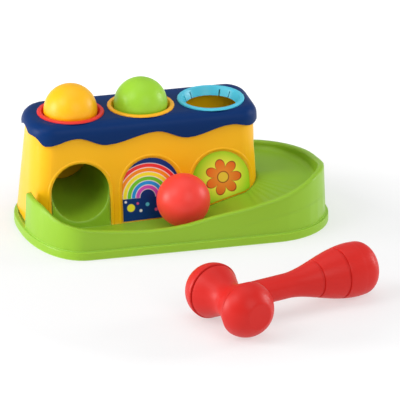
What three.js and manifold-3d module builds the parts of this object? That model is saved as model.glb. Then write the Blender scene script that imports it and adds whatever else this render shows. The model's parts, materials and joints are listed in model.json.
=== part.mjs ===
// Pounding toy: a hollow ball house on a spiral track tray, three balls and a two-ended mallet.
// Millimetres, +Z up, the front of the toy faces -Y and the middle hole's axis is X = Y = 0.

import * as THREE from 'three';
import { mergeVertices } from 'three/addons/utils/BufferGeometryUtils.js';
import Module from 'manifold-3d';

const wasm = await Module();
wasm.setup();

// Driving dimensions: balls and holes
const BALL_D = 46;
const BALL_WALL = 1.5;
const BALL_RISE = 0.5; // ball centre above the collar lip at rest

// Driving dimensions: collars
const LIP_MARGIN = 1.85; // lip bore radius beyond the ball radius
const LIP_WIDTH = 3.9;
const LIP_HEIGHT = 1.6;
const LIP_SPACE = 4.1; // between the lips of neighbouring collars
const COLLAR_DEPTH = 7;
const COLLAR_WALL = 1.3;
const SLEEVE_MARGIN = 3.5; // sleeve radius beyond the ball radius
const SNAP_BEAD = 0.6;
const TAB_COUNT = 4;
const TAB_ANGLE = 24;
const SLIT_WIDTH = 1.2;

// Driving dimensions: house
const HOUSE_WALL = 2.4;
const HOUSE_TOP = 89;
const HOUSE_MARGIN = { front: 2.16, back: 7.7, left: 11, right: 7 }; // beyond the sleeves, at the top edge
const HOUSE_FLARE = { front: 12.34, back: 7.8, left: 6, right: 1.3 }; // from the top edge to the foot
const HOUSE_CORNERS = {
  fl: { rx: 19, ry: 24, n: 2.2 },
  fr: { rx: 15, ry: 18, n: 2 },
  br: { rx: 15, ry: 18, n: 2 },
  bl: { rx: 24, ry: 36, n: 2.3 },
};

// Driving dimensions: arches in the front wall and the outlet in the right wall
const ARCH_MARGIN = 2.5; // arch radius beyond the ball radius
const ARCH_ROUND = 2.2;
const RECESS_DEPTH = 1.8;
const STICKER_T = 0.4;
const STICKER_EDGE = 0.5;
const EXIT_MARGIN = 1.2;

// Driving dimensions: roof
const ROOF_TOP = 96;
const ROOF_WALL = 2.2;
const ROOF_PLATE = 2.4;
const ROOF_OVERHANG = 3;
const ROOF_ROUND = 9;
const ROOF_FLARE = 0.6;
const ROOF_REFERENCE_Z = 80; // height at which the overhang is measured from the house wall
const DRIP_LOW = 76.2;
const DRIP_HIGH = 84.2;
const DRIP_CORNER = 78.8;
const DRIP_END = 82.6;
const DRIP_LEFT = 86;
const DRIP_LEFT_RUN = 3; // level stretch of the skirt's edge at the left end
const DRIP_PEAK = 89.6; // top of the wave in the left end
const DRIP_PEAK_Y = -2;
const DRIP_PEAK_HALF = 24;

// Driving dimensions: tray
const FOOT_HEIGHT = 5;
const FLANGE_HEIGHT = 7;
const FOOT_PROUD = 2.3;
const FOOT_ROUND = 1;
const FOOT_LEDGE = 3; // foot beyond the house's back wall
const TRAY_SKIN = 2.6;
const RIM_WIDTH = 5.6; // thickness of the tray's outer wall
const RIM_ROUND = 1;
const TRAY_FLOOR = 2.5;
const TRAY_DRAFT = 0.035;
const TRACK_FRONT = 51.5; // clear width of the front track at the house's foot
const TRACK_END = 47.8; // clear width round the right end
const TRAY_LEFT_MARGIN = 6.8; // foot beyond the house's left end
const TRAY_CORNERS = {
  fl: { rx: 42.6, ry: 78.5, n: 2.1 },
  fr: { rx: 56, ry: 56, n: 2 },
  br: { rx: 56, ry: 77, n: 2.1 },
  bl: { rx: 42.6, ry: 62, n: 2.3 },
};
const TRACK_LOW = 5.2;
const TRACK_SLOPE = 0.03;
const TRACK_FLAT_X = -62; // left of this the track is level
const TRACK_KINK_X = 28; // right of this the track climbs faster
const TRACK_KINK_SLOPE = 0.3;
const TRACK_HIGH = 33;
const TRACK_FILLET = 6;
const TRACK_ROOT = 6; // where the track's section starts, inside the house
const PIVOT_IN = { left: 22, right: 13.4 }; // the bends' pivots, in from the house's ends
const PIVOT_BACK = { left: 16, right: 23 }; // and back from its front
const FAN_RADIUS = 45; // radius at which the track's climb round the ends is measured
const WALL_START_ANGLE = -168; // where the wall starts beside the house's left end
const WALL_END_ANGLE = 84; // where the wall meets the house's back corner
const RIM_FROM_LEFT = [[-23, 38.3], [-3, 29.4], [24, 24], [64, 20.4]]; // [run past the left pivot, height]
const RIM_FROM_RIGHT = [[-70, 21.6], [-46, 26.3], [1, 35], [35, 50], [67, 45], [119, 39]]; // past the right one

// Driving dimensions: inner chutes
const CHUTE_WALL = 2;
const SCOOP_CLEAR = 2.1; // trough radius beyond the ball radius
const SCOOP_FLOOR = 5.4; // the trough's mouth above the house floor
const SCOOP_RISE = 10.5; // from the house's front to its back
const SCOOP_SIDE = 12; // side walls above the trough's axis
const GUTTER_HIGH = 41;
const GUTTER_LOW = 33.8;
const GUTTER_SIDE = 14;
const GUTTER_START = 28;
const PARTITION_TOP = 70;

// Driving dimensions: fasteners
const SCREW_D = 2.6;
const SCREW_HEAD_D = 5.6;
const SCREW_HEAD_T = 1.7;
const BOSS_D = 7;
const BOSS_HEIGHT = 12;
const LUG_Z = 72;
const LUG_T = 3;
const LUG_REACH = 10;

// Driving dimensions: mallet
const HEAD_D = 48.5;
const HEAD_LENGTH = 90;
const HEAD_WAIST_D = 30;
const DOME_SPACING = 47;
const CAP_GROOVE = 1.2;
const HANDLE_D = 21.5;
const GRIP_D = 46.6;
const HANDLE_END = 144; // from the head's axis
const FLARE_START = 58;
const GRIP_WIDEST = 125;
const GRIP_END_ROUND = 14;
const GRIP_GROOVES = [86, 109];
const GRIP_GROOVE_DEPTH = 1.2;
const GRIP_GROOVE_WIDTH = 2.2;
const SOCKET_DEPTH = 9;
const MALLET_AT = { x: 8, y: -272, yaw: 19.8 };

// Clearances
const GAP = 0.35;
const SEAT = 0.05;
const CORNER_SPACE = 1; // least straight run between two rounded corners
const RED_BALL_GAP = 1.52312; // between the red ball and the house's front
const SLIVER = 0.01; // facets smaller than this are merged after the cuts

// Worked-out sizes
const BALL_R = BALL_D / 2;
const SLEEVE_R = BALL_R + SLEEVE_MARGIN;
const LIP_R = BALL_R + LIP_MARGIN + LIP_WIDTH;
const HOLE_PITCH = 2 * LIP_R + LIP_SPACE;
const LIP_TOP = ROOF_TOP + LIP_HEIGHT;
const BALL_Z = LIP_TOP + BALL_RISE;
const HOLES = [-HOLE_PITCH, 0, HOLE_PITCH];
const PILLARS = [-HOLE_PITCH / 2, HOLE_PITCH / 2];
const ARCH_R = BALL_R + ARCH_MARGIN;
const SCOOP_R = BALL_R + SCOOP_CLEAR;
const ARCH_SPRING = FOOT_HEIGHT + SCOOP_FLOOR + SCOOP_R;
const EXIT_R = BALL_R + EXIT_MARGIN;
const HOUSE_TOP_BOX = {
  left: -HOLE_PITCH - SLEEVE_R - HOUSE_MARGIN.left,
  right: HOLE_PITCH + SLEEVE_R + HOUSE_MARGIN.right,
  front: -SLEEVE_R - HOUSE_MARGIN.front,
  back: SLEEVE_R + HOUSE_MARGIN.back,
};
const HOUSE_FOOT_BOX = {
  left: HOUSE_TOP_BOX.left - HOUSE_FLARE.left,
  right: HOUSE_TOP_BOX.right + HOUSE_FLARE.right,
  front: HOUSE_TOP_BOX.front - HOUSE_FLARE.front,
  back: HOUSE_TOP_BOX.back + HOUSE_FLARE.back,
};
const TRAY_BOX = {
  left: HOUSE_FOOT_BOX.left - TRAY_LEFT_MARGIN,
  right: HOUSE_FOOT_BOX.right + TRACK_END + RIM_WIDTH + FOOT_PROUD,
  front: HOUSE_FOOT_BOX.front - TRACK_FRONT - RIM_WIDTH - FOOT_PROUD,
  back: HOUSE_FOOT_BOX.back + FOOT_LEDGE,
};

// Materials
const plastic = (color, roughness = 0.35) =>
  new THREE.MeshStandardMaterial({ color, roughness, metalness: 0 });
const MATERIALS = {
  yellow: plastic(0xf2b11e),
  navy: plastic(0x10386f),
  green: plastic(0x93c83a),
  red: plastic(0xe2352f),
  collarRed: plastic(0xf24a4d),
  collarOrange: plastic(0xffc136),
  collarCyan: plastic(0x52cde2),
  ballYellow: plastic(0xf9c21f, 0.25),
  ballGreen: plastic(0xa2da3c, 0.25),
  ballRed: plastic(0xf0534b, 0.25),
  stickerNavy: plastic(0x15306e, 0.5),
  stickerLime: plastic(0xcfe03a, 0.5),
  steel: new THREE.MeshStandardMaterial({ color: 0xb9bcc0, roughness: 0.4, metalness: 1 }),
};

// Geometry helpers
function signedVolume(position, triangles) {
  const corner = (i) => new THREE.Vector3().fromBufferAttribute(position, i);
  let volume = 0;
  for (const [a, b, c] of triangles) {
    volume += corner(a).dot(corner(b).cross(corner(c))) / 6;
  }
  return volume;
}

// A closed three.js geometry as a manifold solid, welded and facing outwards.
function solid(geometry) {
  const bare = new THREE.BufferGeometry();
  bare.setAttribute('position', geometry.getAttribute('position'));
  bare.setIndex(geometry.index);
  const welded = mergeVertices(bare, 1e-4);
  const position = welded.getAttribute('position');
  const triangles = [];
  for (let i = 0; i < welded.index.count; i += 3) {
    const [a, b, c] = [0, 1, 2].map((k) => welded.index.getX(i + k));
    if (a !== b && b !== c && c !== a) triangles.push([a, b, c]);
  }
  if (signedVolume(position, triangles) < 0) triangles.forEach((t) => t.reverse());
  const mesh = new wasm.Mesh({
    numProp: 3,
    vertProperties: new Float32Array(position.array),
    triVerts: new Uint32Array(triangles.flat()),
  });
  return new wasm.Manifold(mesh);
}

const join = (first, ...rest) => rest.reduce((sum, part) => sum.add(part), first);
const cut = (first, ...rest) => rest.reduce((sum, part) => sum.subtract(part), first);

function geometryOf(manifold) {
  const { vertProperties, triVerts } = manifold.asOriginal().simplify(SLIVER).getMesh();
  const geometry = new THREE.BufferGeometry();
  geometry.setAttribute('position', new THREE.BufferAttribute(vertProperties, 3));
  geometry.setIndex(new THREE.BufferAttribute(triVerts, 1));
  geometry.computeVertexNormals();
  return geometry;
}

// Triangles of one planar end ring, wound the same way as the ring itself.
function capTriangles(ring) {
  const normal = new THREE.Vector3();
  ring.forEach((p, i) => normal.add(p.clone().cross(ring[(i + 1) % ring.length])));
  const size = [Math.abs(normal.x), Math.abs(normal.y), Math.abs(normal.z)];
  const dropped = size.indexOf(Math.max(...size));
  const [u, v] = [['y', 'z'], ['z', 'x'], ['x', 'y']][dropped];
  const flat = ring.map((p) => new THREE.Vector2(p[u], p[v]));
  const clockwise = THREE.ShapeUtils.isClockWise(flat);
  return THREE.ShapeUtils.triangulateShape(flat, []).map((t) => {
    const turned = THREE.ShapeUtils.isClockWise(t.map((i) => flat[i]));
    return turned === clockwise ? t : [...t].reverse();
  });
}

// A closed solid through rings of equal point counts.
function loft(rings) {
  const count = rings[0].length;
  const last = (rings.length - 1) * count;
  const index = [];
  for (let k = 0; k < rings.length - 1; k += 1) {
    for (let i = 0; i < count; i += 1) {
      const a = k * count + i;
      const b = k * count + ((i + 1) % count);
      index.push(a, b, b + count, a, b + count, a + count);
    }
  }
  for (const [a, b, c] of capTriangles(rings[0])) index.push(a, c, b);
  for (const [a, b, c] of capTriangles(rings.at(-1))) index.push(last + a, last + b, last + c);
  const geometry = new THREE.BufferGeometry().setFromPoints(rings.flat());
  geometry.setIndex(index);
  return solid(geometry);
}

// A profile of [radius, height] pairs turned about Z.
function turned(profile, segments) {
  const points = profile.map(([r, z]) => new THREE.Vector2(r, z));
  return new THREE.LatheGeometry(points, segments).rotateX(Math.PI / 2);
}

const rod = (diameter, z0, z1, segments = 16) =>
  turned([[0, z0], [diameter / 2, z0], [diameter / 2, z1], [0, z1]], segments);

const block = (x0, x1, y0, y1, z0, z1) =>
  new THREE.BoxGeometry(x1 - x0, y1 - y0, z1 - z0)
    .translate((x0 + x1) / 2, (y0 + y1) / 2, (z0 + z1) / 2);

const mix = (a, b, t) => a + (b - a) * t;
const clamp01 = (t) => Math.min(1, Math.max(0, t));
const wave = (t) => (1 - Math.cos(Math.PI * clamp01(t))) / 2;

// The corners of a box, each limited to its share of a side too short for both of its corners.
function limitedCorners(box, { fl, fr, br, bl }) {
  const share = (span, a, b) => Math.min(1, (span - CORNER_SPACE) / (a + b));
  const width = box.right - box.left;
  const depth = box.back - box.front;
  const front = share(width, fl.rx, fr.rx);
  const back = share(width, bl.rx, br.rx);
  const left = share(depth, fl.ry, bl.ry);
  const right = share(depth, fr.ry, br.ry);
  const scaled = (corner, x, y) => ({ rx: corner.rx * x, ry: corner.ry * y, n: corner.n });
  return {
    fl: scaled(fl, front, left),
    fr: scaled(fr, front, right),
    br: scaled(br, back, right),
    bl: scaled(bl, back, left),
  };
}

// A rounded plan outline: four superellipse corners joined by straight edges, counter-clockwise.
function planOutline(box, boxCorners, grow, steps) {
  const corners = limitedCorners(box, boxCorners);
  const left = box.left - grow;
  const right = box.right + grow;
  const front = box.front - grow;
  const back = box.back + grow;
  const quarter = ({ rx, ry, n }, sideX, sideY, from, to) => {
    const a = rx + grow;
    const b = ry + grow;
    const cx = sideX < 0 ? left + a : right - a;
    const cy = sideY < 0 ? front + b : back - b;
    return Array.from({ length: steps + 1 }, (_, i) => {
      const angle = mix(from, to, i / steps) * (Math.PI / 2);
      const x = cx + sideX * a * Math.abs(Math.cos(angle)) ** (2 / n);
      const y = cy + sideY * b * Math.abs(Math.sin(angle)) ** (2 / n);
      return new THREE.Vector2(x, y);
    });
  };
  return [
    ...quarter(corners.fl, -1, -1, 0, 1),
    ...quarter(corners.fr, 1, -1, 1, 0),
    ...quarter(corners.br, 1, 1, 0, 1),
    ...quarter(corners.bl, -1, 1, 1, 0),
  ];
}

const ringAt = (outline, z) => outline.map((p) => new THREE.Vector3(p.x, p.y, z));

// House body: a tapered tube, used at several growths for walls and clearances.
function houseBox(z) {
  const t = (HOUSE_TOP - z) / (HOUSE_TOP - FOOT_HEIGHT);
  return {
    left: mix(HOUSE_TOP_BOX.left, HOUSE_FOOT_BOX.left, t),
    right: mix(HOUSE_TOP_BOX.right, HOUSE_FOOT_BOX.right, t),
    front: mix(HOUSE_TOP_BOX.front, HOUSE_FOOT_BOX.front, t),
    back: mix(HOUSE_TOP_BOX.back, HOUSE_FOOT_BOX.back, t),
  };
}

const HOUSE_STEPS = 7;
function houseBody(grow, z0, z1) {
  const ring = (z) => ringAt(planOutline(houseBox(z), HOUSE_CORNERS, grow, HOUSE_STEPS), z);
  return loft([ring(z0), ring(z1)]);
}

// Frame of the sloping front wall: x along the wall, y up its slope, z out of it.
const FRONT_LEAN = Math.atan2(HOUSE_FLARE.front, HOUSE_TOP - FOOT_HEIGHT);
const FRONT_FRAME = new THREE.Matrix4()
  .makeBasis(
    new THREE.Vector3(1, 0, 0),
    new THREE.Vector3(0, Math.sin(FRONT_LEAN), Math.cos(FRONT_LEAN)),
    new THREE.Vector3(0, -Math.cos(FRONT_LEAN), Math.sin(FRONT_LEAN)),
  )
  .setPosition(0, houseBox(0).front, 0);
const upFront = (z) => z / Math.cos(FRONT_LEAN);

// Outline of an arch in the front wall's frame, standing on the line y = bottom.
const ARCH_STEPS = 16;
function archOutline(x, radius, bottom) {
  const spring = upFront(ARCH_SPRING);
  const round = Array.from({ length: ARCH_STEPS + 1 }, (_, i) => {
    const angle = (Math.PI * i) / ARCH_STEPS;
    return new THREE.Vector2(x + radius * Math.cos(angle), spring + radius * Math.sin(angle));
  });
  return [new THREE.Vector2(x - radius, bottom), new THREE.Vector2(x + radius, bottom), ...round];
}

// A solid through arches of given [radius, depth] in the front wall.
function archSolid(x, bottom, ...sections) {
  return loft(sections.map(([radius, depth]) =>
    archOutline(x, radius, bottom)
      .map((p) => new THREE.Vector3(p.x, p.y, depth).applyMatrix4(FRONT_FRAME))));
}

// Fastener places: [x, y] of each screw
const frontBossY = houseBox(FOOT_HEIGHT + BOSS_HEIGHT).front + HOUSE_WALL + BOSS_D / 2 - 1;
const backBossY = houseBox(FOOT_HEIGHT + BOSS_HEIGHT).back - HOUSE_WALL - BOSS_D / 2 + 1;
const HOUSE_SCREWS = [
  ...PILLARS.map((x) => [x, frontBossY]),
  ...HOLES.filter((x) => x !== 0).map((x) => [x, backBossY]),
];
const frontLugY = houseBox(LUG_Z).front + HOUSE_WALL + LUG_REACH - BOSS_D / 2;
const backLugY = houseBox(LUG_Z).back - HOUSE_WALL - LUG_REACH + BOSS_D / 2;
const ROOF_SCREWS = PILLARS.flatMap((x) => [[x, frontLugY], [x, backLugY]]);
const SCOOP_SCREW = [-HOLE_PITCH, 12];
const GUTTER_LEGS = [-GUTTER_START + 4, HOLE_PITCH + 8];
const CHUTE_SCREWS = [SCOOP_SCREW, ...GUTTER_LEGS.map((x) => [x, 0])];
const PILOT_D = SCREW_D + 2 * GAP;

const at = (geometry, [x, y]) => geometry.translate(x, y, 0);

// House shell
const EXIT_SILL = TRACK_HIGH + 0.2;
function exitCut() {
  const spring = EXIT_SILL + EXIT_R;
  const shape = new THREE.Shape()
    .moveTo(-EXIT_R, EXIT_SILL)
    .lineTo(EXIT_R, EXIT_SILL)
    .lineTo(EXIT_R, spring)
    .absarc(0, spring, EXIT_R, 0, Math.PI);
  const depth = HOUSE_FOOT_BOX.right;
  const turn = new THREE.Matrix4().makeBasis(
    new THREE.Vector3(0, 1, 0), new THREE.Vector3(0, 0, 1), new THREE.Vector3(1, 0, 0),
  );
  return new THREE.ExtrudeGeometry(shape, { depth, bevelEnabled: false, curveSegments: ARCH_STEPS })
    .applyMatrix4(turn)
    .translate(HOUSE_TOP_BOX.right - BALL_D / 2, 0, 0);
}

function houseShell() {
  const low = FOOT_HEIGHT - 1;
  const belowFoot = upFront(low);
  const aboveFoot = upFront(FOOT_HEIGHT);
  const padDepth = -RECESS_DEPTH - HOUSE_WALL;
  let shell = cut(houseBody(0, FOOT_HEIGHT, HOUSE_TOP), houseBody(-HOUSE_WALL, low, HOUSE_TOP + 1));
  const bosses = HOUSE_SCREWS.map((p) =>
    solid(at(rod(BOSS_D, FOOT_HEIGHT, FOOT_HEIGHT + BOSS_HEIGHT), p)));
  const half = BOSS_D / 2 + 0.5;
  const lugs = PILLARS.flatMap((x) => [
    block(x - half, x + half, houseBox(LUG_Z).front - 5, frontLugY + BOSS_D / 2, LUG_Z, LUG_Z + LUG_T),
    block(x - half, x + half, backLugY - BOSS_D / 2, houseBox(LUG_Z).back + 5, LUG_Z, LUG_Z + LUG_T),
  ].map(solid));
  const pads = HOLES.slice(1).map((x) =>
    archSolid(x, aboveFoot, [ARCH_R + ARCH_ROUND, padDepth], [ARCH_R + ARCH_ROUND, -HOUSE_WALL / 2]));
  const inside = join(...bosses, ...lugs, ...pads);
  shell = join(shell, inside.intersect(houseBody(-HOUSE_WALL / 2, FOOT_HEIGHT, HOUSE_TOP)));
  const over = 1;
  const edge = [90, 60, 30].map((degrees) => {
    const angle = THREE.MathUtils.degToRad(degrees);
    return [ARCH_R + ARCH_ROUND * (1 - Math.sin(angle)), -RECESS_DEPTH * (1 - Math.cos(angle))];
  });
  const [edgeR, edgeDepth] = edge.at(-1);
  const spread = edgeR + (over - edgeDepth) * (ARCH_ROUND / RECESS_DEPTH) * Math.sqrt(3);
  const recesses = HOLES.map((x) => archSolid(x, belowFoot, ...edge, [spread, over]));
  const opening = archSolid(-HOLE_PITCH, belowFoot, [ARCH_R, -3 * HOUSE_WALL], [ARCH_R, over]);
  const pilots = HOUSE_SCREWS.map((p) => solid(at(rod(PILOT_D, low, FOOT_HEIGHT + BOSS_HEIGHT - 2, 10), p)));
  const holes = ROOF_SCREWS.map((p) => solid(at(rod(PILOT_D, LUG_Z - 1, LUG_Z + LUG_T + 1, 10), p)));
  return cut(shell, ...recesses, opening, solid(exitCut()), ...pilots, ...holes);
}

// Roof cover: a rounded lid with a dripping skirt
const ROOF_BOX = houseBox(ROOF_REFERENCE_Z);
const ROOF_STEPS = 7;
function roofBody(inset, top, bottom, roundSteps) {
  const ring = (grow, z) =>
    ringAt(planOutline(ROOF_BOX, HOUSE_CORNERS, ROOF_OVERHANG - inset + grow, ROOF_STEPS), z);
  const radius = ROOF_ROUND - inset;
  const shoulder = Array.from({ length: roundSteps + 1 }, (_, i) => {
    const angle = ((Math.PI / 2) * i) / roundSteps;
    return ring(-radius * (1 - Math.cos(angle)), top - radius + radius * Math.sin(angle));
  });
  return loft([ring(ROOF_FLARE, bottom), ...shoulder]);
}

// The skirt's lower edge as [x, z] turning points, eased between them.
function dripEdge() {
  const left = ROOF_BOX.left - ROOF_OVERHANG;
  const right = ROOF_BOX.right + ROOF_OVERHANG;
  const half = HOLE_PITCH / 2;
  const turns = [
    [left - 5, DRIP_LEFT],
    [left + DRIP_LEFT_RUN, DRIP_LEFT],
    [left + 11.5, DRIP_CORNER],
    [-2 * half - 2.5, DRIP_HIGH],
    [-half - 7, DRIP_LOW],
    [6, DRIP_HIGH],
    [half + 2.5, DRIP_LOW],
    [2 * half + 11, DRIP_HIGH],
    [right - 8, DRIP_END - 1.5],
    [right, DRIP_END],
    [right + 5, DRIP_END],
  ];
  const steps = 6;
  const edge = [];
  for (let k = 0; k < turns.length - 1; k += 1) {
    for (let i = 0; i < steps; i += 1) {
      const t = i / steps;
      edge.push([mix(turns[k][0], turns[k + 1][0], t), mix(turns[k][1], turns[k + 1][1], wave(t))]);
    }
  }
  return [...edge, turns.at(-1)];
}

function dripCut() {
  const edge = dripEdge();
  const low = DRIP_LOW - 20;
  const outline = [[edge[0][0], low], [edge.at(-1)[0], low], ...edge.reverse()];
  const depth = 4 * (ROOF_BOX.back - ROOF_BOX.front);
  const shape = new THREE.Shape(outline.map(([x, z]) => new THREE.Vector2(x, z)));
  return new THREE.ExtrudeGeometry(shape, { depth, bevelEnabled: false })
    .rotateX(Math.PI / 2)
    .translate(0, depth / 2, 0);
}

// The wave in the skirt's left end, cut along X.
function endWaveCut() {
  const steps = 10;
  const hump = Array.from({ length: steps + 1 }, (_, i) => {
    const away = mix(DRIP_PEAK_HALF, -DRIP_PEAK_HALF, i / steps);
    const rise = (1 + Math.cos((Math.PI * away) / DRIP_PEAK_HALF)) / 2;
    return [DRIP_PEAK_Y + away, mix(DRIP_END, DRIP_PEAK, rise)];
  });
  const low = DRIP_LOW - 20;
  const ends = [[hump.at(-1)[0], low], [hump[0][0], low]];
  const shape = new THREE.Shape([...ends, ...hump].map(([y, z]) => new THREE.Vector2(y, z)));
  const turn = new THREE.Matrix4().makeBasis(
    new THREE.Vector3(0, 1, 0), new THREE.Vector3(0, 0, 1), new THREE.Vector3(1, 0, 0),
  );
  const left = ROOF_BOX.left - ROOF_OVERHANG;
  return new THREE.ExtrudeGeometry(shape, { depth: 20, bevelEnabled: false })
    .applyMatrix4(turn)
    .translate(left - 5, 0, 0);
}

function roofCover() {
  const low = DRIP_LOW - 6;
  const plateUnder = ROOF_TOP - ROOF_PLATE;
  const shell = cut(roofBody(0, ROOF_TOP, low, 5), roofBody(ROOF_WALL, plateUnder, low - 1, 3));
  const bossLow = LUG_Z + LUG_T + GAP;
  const bosses = ROOF_SCREWS.map((p) => solid(at(rod(BOSS_D - 1, bossLow, plateUnder + 1), p)));
  const pilots = ROOF_SCREWS.map((p) => solid(at(rod(PILOT_D, bossLow - 1, plateUnder - 2, 10), p)));
  const holes = HOLES.map((x) => solid(at(rod(2 * (SLEEVE_R + GAP), low, ROOF_TOP + 1, 32), [x, 0])));
  const skirted = cut(shell, solid(dripCut()), solid(endWaveCut()));
  return cut(join(skirted, ...bosses), ...pilots, ...holes);
}

// Collar with four flexible tabs that hold a ball
function collar() {
  const boreR = BALL_R + LIP_MARGIN;
  const foot = LIP_TOP - COLLAR_DEPTH;
  const drop = BALL_Z - foot;
  const footR = Math.sqrt(BALL_R ** 2 - drop ** 2) + SEAT * 2;
  const plateUnder = ROOF_TOP - ROOF_PLATE;
  const profile = [
    [LIP_R, ROOF_TOP],
    [LIP_R, LIP_TOP - 0.7],
    [LIP_R - 0.7, LIP_TOP],
    [boreR + 0.7, LIP_TOP],
    [boreR, LIP_TOP - 0.8],
    [footR, foot],
    [footR + COLLAR_WALL, foot - 0.3],
    [SLEEVE_R - COLLAR_WALL, plateUnder - 2.2],
    [SLEEVE_R + SNAP_BEAD, plateUnder - 1.5],
    [SLEEVE_R, plateUnder - 3 * GAP],
    [SLEEVE_R, ROOF_TOP],
    [LIP_R, ROOF_TOP],
  ];
  const body = solid(turned(profile, 28));
  const slits = [];
  for (let k = 0; k < TAB_COUNT; k += 1) {
    for (const side of [-1, 1]) {
      const angle = (360 / TAB_COUNT) * (k + 0.5) + (side * TAB_ANGLE) / 2;
      const slit = block(footR - 3, SLEEVE_R + 2, -SLIT_WIDTH / 2, SLIT_WIDTH / 2, foot - 2, LIP_TOP - 2);
      slits.push(solid(slit.rotateZ(THREE.MathUtils.degToRad(angle))));
    }
  }
  return cut(body, ...slits);
}

// Ball half: a hemispherical shell on the plane z = 0
function ballHalf() {
  const arc = (radius, steps) =>
    Array.from({ length: steps + 1 }, (_, i) => {
      const angle = ((Math.PI / 2) * i) / steps;
      return [radius * Math.sin(angle), radius * Math.cos(angle)];
    });
  const inner = arc(BALL_R - BALL_WALL, 2).reverse();
  return solid(turned([...arc(BALL_R, 6), ...inner], 20));
}

// Track tray: stations are rays from inside the house out to the foot's outline
const TRAY_OUTLINE = planOutline(TRAY_BOX, TRAY_CORNERS, 0, 14);
const LEFT_PIVOT = { x: HOUSE_FOOT_BOX.left + PIVOT_IN.left, y: HOUSE_FOOT_BOX.front + PIVOT_BACK.left };
const RIGHT_PIVOT = { x: HOUSE_FOOT_BOX.right - PIVOT_IN.right, y: HOUSE_FOOT_BOX.front + PIVOT_BACK.right };

function reach(origin, angle) {
  const dx = Math.cos(angle);
  const dy = Math.sin(angle);
  let best = 0;
  TRAY_OUTLINE.forEach((p, i) => {
    const q = TRAY_OUTLINE[(i + 1) % TRAY_OUTLINE.length];
    const ex = q.x - p.x;
    const ey = q.y - p.y;
    const det = ex * dy - ey * dx;
    if (Math.abs(det) < 1e-9) return;
    const along = (ex * (p.y - origin.y) - ey * (p.x - origin.x)) / det;
    const share = (dx * (p.y - origin.y) - dy * (p.x - origin.x)) / det;
    if (share >= -1e-9 && share <= 1 + 1e-9 && along > best) best = along;
  });
  return best;
}

function trackStations() {
  const down = -Math.PI / 2;
  const spread = (from, to, count) => Array.from({ length: count }, (_, i) => mix(from, to, i / count));
  const fan = (pivot, from, to, count) =>
    spread(from, to, count).map((degrees) => {
      const angle = THREE.MathUtils.degToRad(degrees);
      return { origin: pivot, angle, run: pivot.x + FAN_RADIUS * (angle - down) };
    });
  const straight = (from, to, count) =>
    spread(from, to, count).map((x) => {
      const y = mix(LEFT_PIVOT.y, RIGHT_PIVOT.y, (x - LEFT_PIVOT.x) / (RIGHT_PIVOT.x - LEFT_PIVOT.x));
      return { origin: { x, y }, angle: down, run: x };
    });
  const stations = [
    ...fan(LEFT_PIVOT, WALL_START_ANGLE, -90, 12),
    ...straight(LEFT_PIVOT.x, TRACK_FLAT_X, 4),
    ...straight(TRACK_FLAT_X, TRACK_KINK_X, 8),
    ...straight(TRACK_KINK_X, RIGHT_PIVOT.x, 8),
    ...fan(RIGHT_PIVOT, -90, WALL_END_ANGLE, 22),
    ...fan(RIGHT_PIVOT, WALL_END_ANGLE, WALL_END_ANGLE + 1, 1),
  ];
  return stations.map((s) => ({ ...s, reach: reach(s.origin, s.angle) }));
}

function trackHeight(run) {
  if (run <= TRACK_FLAT_X) return TRACK_LOW;
  const kink = TRACK_LOW + TRACK_SLOPE * (TRACK_KINK_X - TRACK_FLAT_X);
  if (run <= TRACK_KINK_X) return mix(TRACK_LOW, kink, (run - TRACK_FLAT_X) / (TRACK_KINK_X - TRACK_FLAT_X));
  const top = RIGHT_PIVOT.x + (FAN_RADIUS * Math.PI) / 2;
  const t = clamp01((run - TRACK_KINK_X) / (top - TRACK_KINK_X));
  const rise = TRACK_KINK_SLOPE * (top - TRACK_KINK_X);
  return kink * (1 + 2 * t) * (1 - t) ** 2 + rise * t * (1 - t) ** 2 + TRACK_HIGH * t * t * (3 - 2 * t);
}

// The rim's height along the run: a smooth curve through its [run, height] stops.
const RIM_LINE = [
  ...RIM_FROM_LEFT.map(([run, height]) => [LEFT_PIVOT.x + run, height]),
  ...RIM_FROM_RIGHT.map(([run, height]) => [RIGHT_PIVOT.x + run, height]),
];
function rimHeight(run) {
  const last = RIM_LINE.length - 1;
  if (run <= RIM_LINE[0][0]) return RIM_LINE[0][1];
  if (run >= RIM_LINE[last][0]) return RIM_LINE[last][1];
  const slope = (i) => {
    if (i === 0 || i === last) return 0;
    const [before, after] = [RIM_LINE[i - 1], RIM_LINE[i + 1]];
    return (after[1] - before[1]) / (after[0] - before[0]);
  };
  const k = RIM_LINE.findIndex(([stop]) => stop > run) - 1;
  const [[run0, z0], [run1, z1]] = [RIM_LINE[k], RIM_LINE[k + 1]];
  const span = run1 - run0;
  const t = (run - run0) / span;
  const ease = t * t * (3 - 2 * t);
  return mix(z0, z1, ease) + span * t * (1 - t) * (slope(k) * (1 - t) - slope(k + 1) * t);
}

const alongRay = (s, distance, z) =>
  new THREE.Vector3(
    s.origin.x + distance * Math.cos(s.angle),
    s.origin.y + distance * Math.sin(s.angle),
    z,
  );

// The block under the track's surface, with a round fillet up to the outer wall.
function trackBlock(stations) {
  const face = FOOT_PROUD + RIM_WIDTH;
  const fillet = [90, 60, 30, 0].map((degrees) => {
    const angle = THREE.MathUtils.degToRad(degrees);
    return [TRACK_FILLET * (1 - Math.sin(angle)), TRACK_FILLET * (1 - Math.cos(angle))];
  });
  return loft(stations.map((s) => {
    const z = trackHeight(s.run);
    return [
      alongRay(s, TRACK_ROOT, 0),
      alongRay(s, s.reach - face + RIM_WIDTH / 2, 0),
      alongRay(s, s.reach - face + RIM_WIDTH / 2, z + TRACK_FILLET),
      ...fillet.map(([back, up]) => alongRay(s, s.reach - face - back, z + up)),
      alongRay(s, TRACK_ROOT, z),
    ];
  }));
}

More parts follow.
